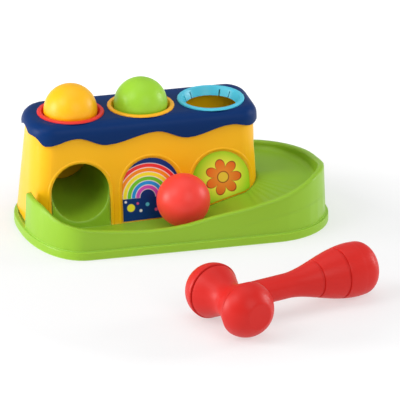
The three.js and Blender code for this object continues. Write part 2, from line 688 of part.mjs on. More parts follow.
// The hollow under the track's floor.
function trackHollow(stations) {
  const face = FOOT_PROUD + TRAY_SKIN * 0.75;
  return loft(stations.map((s) => {
    const z = trackHeight(s.run) - TRAY_FLOOR;
    return [
      alongRay(s, TRACK_ROOT, -1),
      alongRay(s, s.reach - face, -1),
      alongRay(s, s.reach - face, z),
      alongRay(s, TRACK_ROOT, z),
    ];
  }));
}

function trayWall(stations) {
  return loft(stations.map((s) => {
    const rim = rimHeight(s.run);
    const lean = TRAY_DRAFT * (rim - FOOT_HEIGHT);
    const outer = s.reach - FOOT_PROUD;
    const inner = outer - RIM_WIDTH;
    const round = RIM_ROUND;
    return [
      alongRay(s, inner, 0),
      alongRay(s, outer, 0),
      alongRay(s, outer, FOOT_HEIGHT),
      alongRay(s, outer - lean, rim - round),
      alongRay(s, outer - lean - round, rim),
      alongRay(s, inner - lean + round, rim),
      alongRay(s, inner - lean, rim - round),
    ];
  }));
}

function trayFoot() {
  const outline = (grow, z) => ringAt(planOutline(TRAY_BOX, TRAY_CORNERS, grow, 14), z);
  const plate = loft([
    outline(0, 0),
    outline(0, FLANGE_HEIGHT - FOOT_ROUND),
    outline(-0.3 * FOOT_ROUND, FLANGE_HEIGHT - 0.3 * FOOT_ROUND),
    outline(-FOOT_ROUND, FLANGE_HEIGHT),
  ]);
  const inner = -FOOT_PROUD - TRAY_SKIN / 2;
  return cut(plate, loft([outline(inner, -1), outline(inner, FLANGE_HEIGHT + 1)]));
}

function baseTray() {
  const stations = trackStations();
  const skirtOut = GAP + TRAY_SKIN;
  const houseClear = houseBody(GAP, FOOT_HEIGHT, HOUSE_TOP);
  const hollow = cut(trackHollow(stations.slice(1, -1)), houseBody(skirtOut, -2, HOUSE_TOP));
  const track = cut(join(trackBlock(stations), trayWall(stations)), hollow);
  const footRing = planOutline(HOUSE_FOOT_BOX, HOUSE_CORNERS, skirtOut * 0.8, HOUSE_STEPS);
  const platform = loft([ringAt(footRing, FOOT_HEIGHT - TRAY_FLOOR), ringAt(footRing, FOOT_HEIGHT)]);
  const under = planOutline(HOUSE_FOOT_BOX, HOUSE_CORNERS, GAP, HOUSE_STEPS);
  const pocket = loft([ringAt(under, -1), ringAt(under, FOOT_HEIGHT - TRAY_FLOOR)]);
  const edge = planOutline(TRAY_BOX, TRAY_CORNERS, -0.5, 14);
  const shelf = platform.intersect(loft([ringAt(edge, 0), ringAt(edge, FOOT_HEIGHT + 1)]));
  const moulding = join(cut(track, pocket), trayFoot(), shelf);
  const holes = [...HOUSE_SCREWS, ...CHUTE_SCREWS].map((p) =>
    solid(at(rod(PILOT_D, -1, FOOT_HEIGHT + 1, 10), p)));
  return cut(moulding, houseClear, ...holes);
}

// Outlet scoop: a sloping round trough under the left hole, open to the arch in front of it
function scoopAxis(y) {
  return ARCH_SPRING + (SCOOP_RISE * (y - HOUSE_FOOT_BOX.front)) / (HOUSE_FOOT_BOX.back - HOUSE_FOOT_BOX.front);
}

function trough(radius, side, y0, y1) {
  const steps = 14;
  const ring = (y) => {
    const round = Array.from({ length: steps + 1 }, (_, i) => {
      const angle = Math.PI * (1 + i / steps);
      return [radius * Math.cos(angle), radius * Math.sin(angle)];
    });
    const outline = [...round, [radius, side], [-radius, side]];
    return outline.map(([x, z]) => new THREE.Vector3(x - HOLE_PITCH, y, scoopAxis(y) + z));
  };
  return loft([ring(y0), ring(y1)]);
}

function outletScoop() {
  const mouth = HOUSE_FOOT_BOX.front - 4;
  const back = HOUSE_FOOT_BOX.back + 4;
  const body = trough(SCOOP_R + CHUTE_WALL, SCOOP_SIDE, mouth, back);
  const bore = trough(SCOOP_R, SCOOP_SIDE + 4, mouth - 4, back + 4);
  const bottom = upFront(FOOT_HEIGHT);
  const lip = (half, depth0, depth1) => {
    const top = upFront(ARCH_SPRING) - 5;
    const shape = block(-HOLE_PITCH - half, -HOLE_PITCH + half, bottom, top, depth0, depth1);
    return solid(shape.applyMatrix4(FRONT_FRAME));
  };
  const behind = -HOUSE_WALL - GAP;
  const plates = join(lip(SCOOP_R + CHUTE_WALL / 2, behind - 2.4, behind), lip(ARCH_R - GAP, behind - 1, -0.6));
  const plate = plates.intersect(houseBody(0, FOOT_HEIGHT + SEAT, HOUSE_TOP));
  const under = scoopAxis(SCOOP_SCREW[1]) - SCOOP_R;
  const boss = solid(at(rod(BOSS_D, FOOT_HEIGHT + SEAT, under + 1), SCOOP_SCREW));
  const clear = houseBody(-HOUSE_WALL - GAP, FOOT_HEIGHT + SEAT, HOUSE_TOP);
  const pilot = solid(at(rod(PILOT_D, 0, under - CHUTE_WALL - 0.5, 10), SCOOP_SCREW));
  return cut(join(join(body, boss).intersect(clear), plate), bore, pilot);
}

// Ramp gutter: carries balls from the middle and right holes to the outlet in the right wall
function rampGutter() {
  const inner = BALL_R + 2;
  const outer = inner + CHUTE_WALL;
  const corner = 10;
  const end = HOUSE_FOOT_BOX.right;
  const floorAt = (x) => mix(GUTTER_HIGH, GUTTER_LOW, (x + GUTTER_START) / (end + GUTTER_START));
  const round = (half, radius, z) =>
    [0, 30, 60, 90].map((degrees) => {
      const angle = THREE.MathUtils.degToRad(degrees);
      return [half - radius + radius * Math.sin(angle), z + radius - radius * Math.cos(angle)];
    });
  const section = (x) => {
    const z = floorAt(x);
    const out = round(outer, corner + CHUTE_WALL, z - CHUTE_WALL);
    const into = round(inner, corner, z);
    const right = [...out, [outer, z + GUTTER_SIDE], [inner, z + GUTTER_SIDE], ...into.reverse()];
    const left = right.map(([y, h]) => [-y, h]).reverse();
    return [...right, ...left].map(([y, h]) => new THREE.Vector3(x, y, h));
  };
  const channel = loft([section(-GUTTER_START), section(end)]);
  const wallBack = -GUTTER_START - CHUTE_WALL;
  const wallLow = floorAt(-GUTTER_START) - CHUTE_WALL;
  const partition = solid(block(wallBack, -GUTTER_START + 0.5, -outer, outer, wallLow, PARTITION_TOP));
  const legs = GUTTER_LEGS.flatMap((x) => {
    const top = floorAt(x) - CHUTE_WALL / 2;
    return [
      solid(block(x - 1.25, x + 1.25, -inner + corner, inner - corner, FOOT_HEIGHT + SEAT, top)),
      solid(at(rod(BOSS_D, FOOT_HEIGHT + SEAT, FOOT_HEIGHT + BOSS_HEIGHT), [x, 0])),
    ];
  });
  const clear = houseBody(-HOUSE_WALL - GAP, FOOT_HEIGHT + SEAT, HOUSE_TOP);
  const pilots = GUTTER_LEGS.map((x) => solid(at(rod(PILOT_D, 0, FOOT_HEIGHT + BOSS_HEIGHT - 2, 10), [x, 0])));
  return cut(join(channel, partition, ...legs).intersect(clear), ...pilots);
}

// Stickers in the two closed arches, trimmed along the track
function sticker(x) {
  const radius = ARCH_R - STICKER_EDGE;
  const back = -RECESS_DEPTH + SEAT;
  const label = archSolid(x, upFront(FOOT_HEIGHT), [radius, back], [radius, back + STICKER_T]);
  const track = trackBlock(trackStations());
  return cut(label, track.translate([0, 0, STICKER_EDGE]));
}

// Screw: pan head below, shank up, head's seat at z = 0
function screw(length) {
  const r = SCREW_D / 2;
  const head = SCREW_HEAD_D / 2;
  return solid(turned([
    [0, -SCREW_HEAD_T],
    [head * 0.7, -SCREW_HEAD_T],
    [head, -SCREW_HEAD_T / 2],
    [head, 0],
    [r, 0],
    [r, length - r],
    [0, length],
  ], 8));
}

// Mallet, lying with its handle along X and its head along Y
const HEAD_R = HEAD_D / 2;
const capStart = DOME_SPACING / 2;

function headBarrel() {
  const waist = HEAD_WAIST_D / 2;
  const rimR = HEAD_R - CAP_GROOVE;
  const steps = 6;
  const half = Array.from({ length: steps + 1 }, (_, i) => {
    const t = i / steps;
    return [mix(waist, rimR, wave(t) * 0.5 + t * t * 0.5), t * (capStart - CAP_GROOVE)];
  });
  const neck = HEAD_R * 0.7;
  const side = [...half, [neck, capStart - CAP_GROOVE], [neck, capStart - SEAT]];
  const mirrored = side.slice(1).map(([r, z]) => [r, -z]).reverse();
  const ends = [[0, -capStart + SEAT], ...mirrored, ...side, [0, capStart - SEAT]];
  const barrel = solid(turned(ends, 24).rotateX(Math.PI / 2));
  const socketR = HANDLE_D / 2 + GAP;
  const socket = rod(2 * socketR, waist - SOCKET_DEPTH, HEAD_R + 1, 20).rotateY(Math.PI / 2);
  return cut(barrel, solid(socket));
}

function headCap() {
  const flat = HEAD_LENGTH / 2 - capStart;
  const edge = Math.acos(flat / HEAD_R);
  const steps = 7;
  const dome = Array.from({ length: steps + 1 }, (_, i) => {
    const angle = mix(0, Math.PI / 2 - edge, i / steps);
    return [HEAD_R * Math.cos(angle), capStart + HEAD_R * Math.sin(angle)];
  });
  return turned([[0, capStart], [HEAD_R - 0.6, capStart], ...dome, [0, capStart + flat]], 24);
}

function handle() {
  const r = HANDLE_D / 2;
  const widest = GRIP_D / 2;
  const start = HEAD_WAIST_D / 2 - SOCKET_DEPTH + GAP;
  const flareTo = (u) => mix(r, widest, wave((u - FLARE_START) / (GRIP_WIDEST - FLARE_START)) ** 0.85);
  const stops = [FLARE_START + 10, FLARE_START + 18];
  const profile = [[0, start], [r, start], [r, FLARE_START]];
  stops.forEach((u) => profile.push([flareTo(u), u]));
  for (const u of GRIP_GROOVES) {
    const half = GRIP_GROOVE_WIDTH / 2;
    profile.push([flareTo(u - half), u - half]);
    profile.push([flareTo(u) - GRIP_GROOVE_DEPTH, u]);
    profile.push([flareTo(u + half), u + half]);
    profile.push([flareTo(u + 10), u + 10]);
  }
  profile.push([widest, GRIP_WIDEST]);
  const roundFrom = HANDLE_END - GRIP_END_ROUND;
  profile.push([widest * 0.985, roundFrom - 2]);
  for (const degrees of [20, 40, 60, 80]) {
    const angle = THREE.MathUtils.degToRad(degrees);
    const back = GRIP_END_ROUND * (1 - Math.cos(angle)) * 1.1;
    profile.push([widest * 0.985 - back, roundFrom + GRIP_END_ROUND * Math.sin(angle)]);
  }
  profile.push([0, HANDLE_END]);
  return solid(turned(profile, 24).rotateY(Math.PI / 2));
}

// Assembly
function piece(name, manifold, material) {
  const mesh = new THREE.Mesh(geometryOf(manifold), material);
  mesh.name = name;
  return mesh;
}

function ballPieces(name, material, [x, y, z], seam) {
  const group = new THREE.Group();
  const half = ballHalf();
  const front = piece(`${name}_front_half`, half, material);
  const rear = piece(`${name}_rear_half`, half, material);
  rear.rotation.x = Math.PI;
  group.add(front, rear);
  group.position.set(x, y, z);
  group.rotation.set(seam.tilt, 0, seam.turn, 'ZXY');
  return group;
}

// The moulding seams of the balls face forward, square to a viewer in front of the toy.
const SEAM = { tilt: THREE.MathUtils.degToRad(68), turn: THREE.MathUtils.degToRad(-14.4) };
const RED_BALL_X = 21.8;
const redBallZ = trackHeight(RED_BALL_X) + (BALL_R + 0.3) * Math.sqrt(1 + TRACK_SLOPE ** 2);
const redBallY = houseBox(redBallZ).front - BALL_R - RED_BALL_GAP;

const toy = new THREE.Group();
toy.add(
  piece('base_tray', baseTray(), MATERIALS.green),
  piece('house_shell', houseShell(), MATERIALS.yellow),
  piece('roof_cover', roofCover(), MATERIALS.navy),
  piece('outlet_scoop', outletScoop(), MATERIALS.green),
  piece('ramp_gutter', rampGutter(), MATERIALS.green),
  piece('sticker_middle', sticker(HOLES[1]), MATERIALS.stickerNavy),
  piece('sticker_right', sticker(HOLES[2]), MATERIALS.stickerLime),
);

const COLLARS = ['collarRed', 'collarOrange', 'collarCyan'];
const COLLAR_NAMES = ['collar_left', 'collar_middle', 'collar_right'];
HOLES.forEach((x, i) => {
  const ring = piece(COLLAR_NAMES[i], collar(), MATERIALS[COLLARS[i]]);
  ring.position.x = x;
  toy.add(ring);
});

toy.add(
  ballPieces('ball_yellow', MATERIALS.ballYellow, [HOLES[0], 0, BALL_Z], SEAM),
  ballPieces('ball_green', MATERIALS.ballGreen, [HOLES[1], 0, BALL_Z], SEAM),
  ballPieces('ball_red', MATERIALS.ballRed, [RED_BALL_X, redBallY, redBallZ], SEAM),
);

const screwRuns = [
  ['base_screw', HOUSE_SCREWS, FOOT_HEIGHT - TRAY_FLOOR - SEAT, TRAY_FLOOR + BOSS_HEIGHT - 4],
  ['scoop_screw', [SCOOP_SCREW], FOOT_HEIGHT - TRAY_FLOOR - SEAT, TRAY_FLOOR + 4.5],
  ['gutter_screw', GUTTER_LEGS.map((x) => [x, 0]), FOOT_HEIGHT - TRAY_FLOOR - SEAT, TRAY_FLOOR + BOSS_HEIGHT - 4],
  ['roof_screw', ROOF_SCREWS, LUG_Z - SEAT, LUG_T + 11],
];
for (const [name, places, z, length] of screwRuns) {
  places.forEach(([x, y], i) => {
    const label = places.length > 1 ? `${name}_${i + 1}` : name;
    const mesh = piece(label, screw(length), MATERIALS.steel);
    mesh.position.set(x, y, z);
    toy.add(mesh);
  });
}

const mallet = new THREE.Group();
const frontCap = piece('mallet_cap_front', solid(headCap().rotateX(Math.PI / 2)), MATERIALS.red);
const rearCap = piece('mallet_cap_rear', solid(headCap().rotateX(-Math.PI / 2)), MATERIALS.red);
mallet.add(
  piece('mallet_head', headBarrel(), MATERIALS.red),
  frontCap,
  rearCap,
  piece('mallet_handle', handle(), MATERIALS.red),
);
mallet.position.set(MALLET_AT.x, MALLET_AT.y, HEAD_R + SEAT);
const sink = Math.asin((HEAD_R - GRIP_D / 2) / GRIP_WIDEST);
mallet.rotation.set(0, sink, THREE.MathUtils.degToRad(MALLET_AT.yaw), 'ZYX');

// The set's origin is the middle of its footprint, on the floor.
const set = new THREE.Group();
set.add(toy, mallet);
set.updateMatrixWorld(true);
const extent = new THREE.Box3().setFromObject(set, true);
const middle = extent.getCenter(new THREE.Vector3());
set.position.set(-middle.x, -middle.y, -extent.min.z);
console.log('origin in the toy frame:', middle.x.toFixed(3), middle.y.toFixed(3), extent.min.z.toFixed(4));

export default set;
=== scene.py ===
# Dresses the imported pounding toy: smooth balls and mallet, arch lips, plastics, stickers, studio.
import json
import math

import bpy
import bmesh
from mathutils import Matrix, Vector
from mathutils.bvhtree import BVHTree


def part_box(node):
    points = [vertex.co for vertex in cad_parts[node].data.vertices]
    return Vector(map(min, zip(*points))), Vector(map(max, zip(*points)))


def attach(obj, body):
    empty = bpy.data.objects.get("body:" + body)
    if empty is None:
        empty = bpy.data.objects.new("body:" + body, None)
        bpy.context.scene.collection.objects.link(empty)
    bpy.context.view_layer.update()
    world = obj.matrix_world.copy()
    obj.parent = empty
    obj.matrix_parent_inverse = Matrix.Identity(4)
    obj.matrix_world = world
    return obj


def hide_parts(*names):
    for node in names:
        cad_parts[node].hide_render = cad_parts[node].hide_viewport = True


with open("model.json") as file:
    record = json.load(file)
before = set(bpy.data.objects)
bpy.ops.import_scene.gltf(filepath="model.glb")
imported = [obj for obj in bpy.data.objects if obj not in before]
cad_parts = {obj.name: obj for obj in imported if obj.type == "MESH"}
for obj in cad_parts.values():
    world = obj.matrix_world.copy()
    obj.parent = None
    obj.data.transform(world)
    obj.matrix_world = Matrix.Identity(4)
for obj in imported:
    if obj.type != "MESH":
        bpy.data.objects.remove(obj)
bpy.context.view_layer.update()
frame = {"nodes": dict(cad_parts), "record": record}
nodes = frame["nodes"]

# The photo's viewing direction
AZIMUTH = math.radians(-14.4)
ELEVATION = math.radians(22.0)
BACK = Vector((
    math.sin(AZIMUTH) * math.cos(ELEVATION),
    -math.cos(AZIMUTH) * math.cos(ELEVATION),
    math.sin(ELEVATION),
))

# Places and sizes shared with the solids, in millimetres
MM = 0.001
TOY_ORIGIN = Vector((20.100, -136.570, 0.0))
HOLE_PITCH = 61.6
BALL_R = 23.0
BALL_WALL = 1.5
ARCH_R = 25.5
ARCH_SPRING = 35.5
FRONT_LEAN = math.atan2(12.34, 84.0)
HEAD_R = 24.25
HEAD_HALF = 45.0
WAIST_R = 15.0
CAP_START = 23.5
CAP_GROOVE = 1.2
HANDLE_R = 10.75
GRIP_R = 23.3
HANDLE_START = 6.35
HANDLE_END = 144.0
FLARE_START = 58.0
GRIP_WIDEST = 125.0
GRIP_END_ROUND = 14.0
GRIP_GROOVES = (86.0, 109.0)
GROOVE_DEPTH = 1.2
GROOVE_HALF = 1.1
FLOOR_GAP = 0.05
MALLET_AT = Vector((8.0, -272.0, HEAD_R + FLOOR_GAP))
MALLET_YAW = math.radians(19.8)
MALLET_SINK = math.asin((HEAD_R - GRIP_R) / GRIP_WIDEST)


def place(x, y, z):
    """A point of the toy in the row frame, in metres."""
    return (Vector((x, y, z)) - TOY_ORIGIN) * MM


# Shader helpers
def linear(srgb):
    """A colour in 0 to 255 as the shader's linear colour."""
    def one(c):
        return c / 12.92 if c <= 0.04045 else ((c + 0.055) / 1.055) ** 2.4
    return tuple(one(c / 255.0) for c in srgb) + (1.0,)


def shade(color, factor):
    return tuple(min(1.0, c * factor) for c in color[:3]) + (1.0,)


class Graph:
    """A material's node tree, with short calls for the nodes used here."""

    def __init__(self, name):
        self.material = bpy.data.materials.new(name)
        self.material.use_nodes = True
        self.tree = self.material.node_tree
        self.shader = self.tree.nodes["Principled BSDF"]

    def feed(self, socket, value):
        if isinstance(value, bpy.types.NodeSocket):
            self.tree.links.new(value, socket)
        else:
            socket.default_value = value

    def node(self, kind, inputs=(), **settings):
        made = self.tree.nodes.new(kind)
        for key, value in settings.items():
            setattr(made, key, value)
        for key, value in dict(inputs).items():
            self.feed(made.inputs[key], value)
        return made

    def math(self, operation, a, b=0.0):
        return self.node("ShaderNodeMath", {0: a, 1: b}, operation=operation).outputs[0]

    def between(self, value, low, high, out_low=0.0, out_high=1.0):
        made = self.node(
            "ShaderNodeMapRange",
            {"Value": value, "From Min": low, "From Max": high, "To Min": out_low, "To Max": out_high},
        )
        return made.outputs["Result"]

    def mix(self, factor, a, b):
        made = self.node("ShaderNodeMix", data_type="RGBA")
        self.feed(made.inputs["Factor"], factor)
        self.feed(made.inputs["A"], a)
        self.feed(made.inputs["B"], b)
        return made.outputs["Result"]

    def where(self):
        return self.node("ShaderNodeTexCoord").outputs["Object"]

    def axes(self, vector):
        return self.node("ShaderNodeSeparateXYZ", {"Vector": vector}).outputs

    def noise(self, scale, detail=3.0):
        made = self.node(
            "ShaderNodeTexNoise", {"Vector": self.where(), "Scale": scale, "Detail": detail}
        )
        return made.outputs["Fac"]

    def uneven(self, scale, low, high):
        """A value that wanders between two limits over the surface."""
        return self.between(self.noise(scale), NOISE_LOW, NOISE_HIGH, low, high)

    def rounded(self, width):
        """The surface normal with edges rounded over that width, in metres."""
        return self.node("ShaderNodeBevel", {"Radius": width}, samples=BEVEL_SAMPLES).outputs["Normal"]

    def bump(self, height, strength, distance, normal=None):
        made = self.node(
            "ShaderNodeBump", {"Height": height, "Strength": strength, "Distance": distance}
        )
        if normal:
            self.feed(made.inputs["Normal"], normal)
        return made.outputs["Normal"]

    def set(self, **values):
        for key, value in values.items():
            self.feed(self.shader.inputs[key.replace("_", " ")], value)


# Moulded plastic: noise scales are per metre, widths and heights in metres
NOISE_LOW = 0.3
NOISE_HIGH = 0.7
BEVEL_SAMPLES = 8
FLOW_SCALE = 14.0
FLOW_DARK = 0.94
FLOW_PALE = 1.06
GLOSS_SCALE = 60.0
GLOSS_BELOW = 0.03
GLOSS_ABOVE = 0.04
GRAIN_SCALE = 2200.0
GRAIN_DETAIL = 2.0
GRAIN_STRENGTH = 0.05
GRAIN_DEPTH = 0.00005
PLASTIC_IOR = 1.5
GLOW_RADIUS = (0.9, 0.6, 0.3)
GLOW_DEPTH = 0.004
# Painted highlight on edges: rounded and sharp corners are lightened in the base colour
EDGE_TURN = (0.93, 0.75)
EDGE_SLOPE = (0.95, 0.85)
HIGHLIGHT_GAIN = 1.5
HIGHLIGHT_WHITE = 0.12
HIGHLIGHT_SHARE = 0.8
FOOT_TOP = 0.0085
FOOT_FADE = 0.0015
FOOT_HIGHLIGHT_WIDTH = 0.003


def edges(g, width):
    """Where the painted highlight on edges falls, from 0 to 1: rounded or sharp corners, with level
    floors left out.
    """
    rounded = g.rounded(width)
    flat = g.node("ShaderNodeNewGeometry").outputs["Normal"]
    along = g.node("ShaderNodeVectorMath", {0: rounded, 1: flat}, operation="DOT_PRODUCT")
    sloping = g.between(g.axes(rounded)["Z"], *EDGE_SLOPE)
    return g.math("MULTIPLY", g.between(along.outputs["Value"], *EDGE_TURN), sloping)


def moulded(
    name, srgb, roughness=0.34, glow=0.0, gloss=0.35, soften=0.0, edge_highlight=0.0, painted_glow=0.0, foot=0.0
):
    """Flow marks, a painted highlight on edges, light through thin shells, an optional painted glow
    and a fine mould texture.

    Below the height foot, edges are not softened and their painted highlight takes
    FOOT_HIGHLIGHT_WIDTH as its width.
    """
    g = Graph(name)
    color = linear(srgb)
    tone = g.mix(g.noise(FLOW_SCALE), shade(color, FLOW_DARK), shade(color, FLOW_PALE))
    if foot:
        height = g.axes(g.where())["Z"]
        soften = g.between(height, foot, foot + FOOT_FADE, 0.0, soften)
        edge_highlight = g.between(height, foot, foot + FOOT_FADE, FOOT_HIGHLIGHT_WIDTH, edge_highlight)
    # Painted highlight: edges are lightened towards a paler, whiter tone
    if edge_highlight:
        bright = shade(color, HIGHLIGHT_GAIN)[:3]
        pale = tuple(c + (1.0 - c) * HIGHLIGHT_WHITE for c in bright) + (1.0,)
        tone = g.mix(g.math("MULTIPLY", edges(g, edge_highlight), HIGHLIGHT_SHARE), tone, pale)
    g.set(
        Base_Color=tone,
        Roughness=g.uneven(GLOSS_SCALE, roughness - GLOSS_BELOW, roughness + GLOSS_ABOVE),
        IOR=PLASTIC_IOR,
        Specular_IOR_Level=gloss,
    )
    # Painted glow: the base colour also emits, lightening the shaded side
    if painted_glow:
        g.set(Emission_Color=color, Emission_Strength=painted_glow)
    if glow:
        g.set(Subsurface_Weight=glow, Subsurface_Radius=GLOW_RADIUS, Subsurface_Scale=GLOW_DEPTH)
    normal = g.rounded(soften) if soften else None
    grain = g.noise(GRAIN_SCALE, GRAIN_DETAIL)
    g.set(Normal=g.bump(grain, GRAIN_STRENGTH, GRAIN_DEPTH, normal))
    return g.material


# Screws
STEEL_SCALE = 900.0
STEEL_TONES = ((150, 152, 156), (196, 198, 202))
STEEL_ROUGHNESS = (0.28, 0.42)


def screw_metal(name):
    g = Graph(name)
    grain = g.noise(STEEL_SCALE)
    g.set(
        Base_Color=g.mix(grain, linear(STEEL_TONES[0]), linear(STEEL_TONES[1])),
        Roughness=g.between(grain, NOISE_LOW, NOISE_HIGH, *STEEL_ROUGHNESS),
        Metallic=1.0,
    )
    return g.material


# Printed stickers: generic motifs in the arches' own flat coordinates, in millimetres
FILM_SCALE = 80.0
FILM_ROUGHNESS = (0.3, 0.38)
FILM_GLOSS = 0.2
DISC_SOFT = 0.35
BAND_SOFT = 0.3
INK_SCALE = 30.0
NAVY_INKS = ((2, 44, 112), (6, 60, 138))
ARCS_AT = (-3.0, -9.0)
ARCS_FOOT = (-9.6, -9.0)
ARC_OUTER = 29.2
ARC_WIDTH = 3.2
ARC_PITCH = 3.8
ARC_MARGIN = 0.4
ARC_GROUND = (250, 248, 246)
ARC_INKS = (
    (240, 60, 62), (255, 150, 40), (255, 240, 60), (116, 212, 50), (36, 156, 240), (216, 84, 200),
)
DOTS = (
    ((-18.0, -17.5), 3.4, (250, 244, 60)),
    ((-9.5, -20.5), 1.3, (240, 240, 250)),
    ((-3.5, -15.5), 1.7, (90, 200, 240)),
    ((4.0, -20.5), 1.4, (236, 90, 150)),
    ((11.0, -15.0), 2.0, (150, 224, 70)),
    ((18.5, -19.0), 1.4, (255, 170, 50)),
    ((-12.0, -14.0), 1.1, (236, 90, 150)),
    ((-22.5, -12.0), 1.1, (240, 240, 250)),
)
FLOWER_AT = (2.0, 2.0)
LIME_INKS = ((255, 252, 84), (150, 216, 20))
LIME_FADE = (11.0, 25.0)
PETALS = 7
PETAL_BASE = 7.5
PETAL_LENGTH = 8.0
PETAL_ROUND = 0.6
PETAL_INKS = ((255, 160, 60), (246, 112, 40))
PETAL_FADE = (4.0, 15.0)
OUTLINE_INK = (150, 58, 40)
OUTLINE_OUTER = (0.9, 0.4)
OUTLINE_INNER = (0.1, -0.4)
EYE_R = 4.4
EYE_LINE = 0.8
EYE_INK = (252, 214, 70)


def sticker_plane(g, centre_x):
    parts = g.axes(g.where())
    middle = place(centre_x, 0.0, ARCH_SPRING)
    u = g.math("MULTIPLY", g.math("SUBTRACT", parts["X"], middle.x), 1.0 / MM)
    rise = 1.0 / (MM * math.cos(FRONT_LEAN))
    v = g.math("MULTIPLY", g.math("SUBTRACT", parts["Z"], middle.z), rise)
    return u, v


def distance(g, u, v, at):
    du = g.math("SUBTRACT", u, at[0])
    dv = g.math("SUBTRACT", v, at[1])
    return g.math("SQRT", g.math("ADD", g.math("MULTIPLY", du, du), g.math("MULTIPLY", dv, dv)))


def disc(g, u, v, at, radius):
    return g.between(distance(g, u, v, at), radius + DISC_SOFT, radius - DISC_SOFT)


def band(g, value, low, high):
    rising = g.between(value, low - BAND_SOFT, low + BAND_SOFT)
    falling = g.between(value, high + BAND_SOFT, high - BAND_SOFT)
    return g.math("MULTIPLY", rising, falling)


def film(g, color):
    g.set(
        Base_Color=color,
        Roughness=g.uneven(FILM_SCALE, *FILM_ROUGHNESS),
        Specular_IOR_Level=FILM_GLOSS,
    )
    return g.material


def arcs_print(name):
    """Navy ground with rainbow arcs on a white band, rising over scattered dots."""
    g = Graph(name)
    u, v = sticker_plane(g, 0.0)
    away = distance(g, u, v, ARCS_AT)
    above = g.between(v, *ARCS_FOOT)
    color = g.mix(g.noise(INK_SCALE), linear(NAVY_INKS[0]), linear(NAVY_INKS[1]))
    innermost = ARC_OUTER - ARC_PITCH * (len(ARC_INKS) - 1) - ARC_WIDTH
    rings = [(ARC_GROUND, innermost - ARC_MARGIN, ARC_OUTER + ARC_MARGIN)]
    for i, ink in enumerate(ARC_INKS):
        outer = ARC_OUTER - ARC_PITCH * i
        rings.append((ink, outer - ARC_WIDTH, outer))
    for ink, low, high in rings:
        inside = g.math("MULTIPLY", band(g, away, low, high), above)
        color = g.mix(inside, color, linear(ink))
    for at, radius, ink in DOTS:
        color = g.mix(disc(g, u, v, at, radius), color, linear(ink))
    return film(g, color)


def flower_print(name):
    """Pale yellow ground turning to lime, with a plain round-petalled flower."""
    g = Graph(name)
    u, v = sticker_plane(g, HOLE_PITCH)
    away = distance(g, u, v, FLOWER_AT)
    color = g.mix(g.between(away, *LIME_FADE), linear(LIME_INKS[0]), linear(LIME_INKS[1]))
    du = g.math("SUBTRACT", u, FLOWER_AT[0])
    dv = g.math("SUBTRACT", v, FLOWER_AT[1])
    angle = g.math("ARCTAN2", dv, du)
    wave = g.math("ABSOLUTE", g.math("COSINE", g.math("MULTIPLY", angle, PETALS / 2)))
    reach = g.math("MULTIPLY", g.math("POWER", wave, PETAL_ROUND), PETAL_LENGTH)
    beyond = g.math("SUBTRACT", away, g.math("ADD", reach, PETAL_BASE))
    color = g.mix(g.between(beyond, *OUTLINE_OUTER), color, linear(OUTLINE_INK))
    petal = g.mix(g.between(away, *PETAL_FADE), linear(PETAL_INKS[0]), linear(PETAL_INKS[1]))
    color = g.mix(g.between(beyond, *OUTLINE_INNER), color, petal)
    color = g.mix(disc(g, u, v, FLOWER_AT, EYE_R + EYE_LINE), color, linear(OUTLINE_INK))
    color = g.mix(disc(g, u, v, FLOWER_AT, EYE_R), color, linear(EYE_INK))
    return film(g, color)


HOUSE_YELLOW = (255, 186, 10)
# The widths of the painted highlight on edges and the red ball's painted glow are set here
PLASTICS = {
    "green_plastic": {
        "srgb": (142, 187, 41), "glow": 0.05, "gloss": 0.3,
        "soften": 0.004, "edge_highlight": 0.0015, "foot": FOOT_TOP,
    },
    "yellow_plastic": {
        "srgb": HOUSE_YELLOW, "glow": 0.02, "gloss": 0.28, "soften": 0.001, "edge_highlight": 0.006,
    },
    "yellow_lip": {"srgb": HOUSE_YELLOW, "glow": 0.02, "gloss": 0.28},
    "navy_plastic": {"srgb": (0, 44, 100), "roughness": 0.44, "gloss": 0.12, "soften": 0.001},
    "red_plastic": {"srgb": (208, 30, 22), "roughness": 0.42, "gloss": 0.28},
    "collar_red": {"srgb": (226, 48, 44), "glow": 0.03},
    "collar_orange": {"srgb": (252, 178, 30), "glow": 0.03},
    "collar_cyan": {"srgb": (78, 196, 222), "glow": 0.03},
    "ball_yellow": {"srgb": (252, 184, 8), "roughness": 0.38, "glow": 0.04},
    "ball_green": {"srgb": (152, 205, 46), "roughness": 0.38, "glow": 0.04},
    # The red ball's colour also emits as a painted glow that lightens its shaded underside
    "ball_red": {"srgb": (226, 60, 50), "roughness": 0.4, "glow": 0.1, "painted_glow": 0.12},
}
MATERIALS = {name: moulded(name, **look) for name, look in PLASTICS.items()}
MATERIALS["sticker_navy"] = arcs_print("sticker_navy")
MATERIALS["sticker_lime"] = flower_print("sticker_lime")
MATERIALS["screw_steel"] = screw_metal("screw_steel")


# CAD nodes: welded, smooth-shaded over curves and crisp at edges
SMOOTH_ANGLE = math.radians(36)
WELD_DISTANCE = 0.00002
slot_of = {s["node"]: s["material_slot"] for s in frame["record"]["subparts"]}
for name, node in nodes.items():
    node.data.materials.clear()
    node.data.materials.append(MATERIALS[slot_of[name]])
    for polygon in node.data.polygons:
        polygon.use_smooth = True
    weld = node.modifiers.new("weld", "WELD")
    weld.merge_threshold = WELD_DISTANCE
    split = node.modifiers.new("edges", "EDGE_SPLIT")
    split.split_angle = SMOOTH_ANGLE
    split.use_edge_sharp = False
    # Weighted normals would bring out the narrow sectors of the tray's floor
    if name != "base_tray":
        normals = node.modifiers.new("normals", "WEIGHTED_NORMAL")
        normals.mode = "FACE_AREA_WITH_ANGLE"


# Added pieces
TURN_SEGMENTS = 64
ON_AXIS = 1e-6


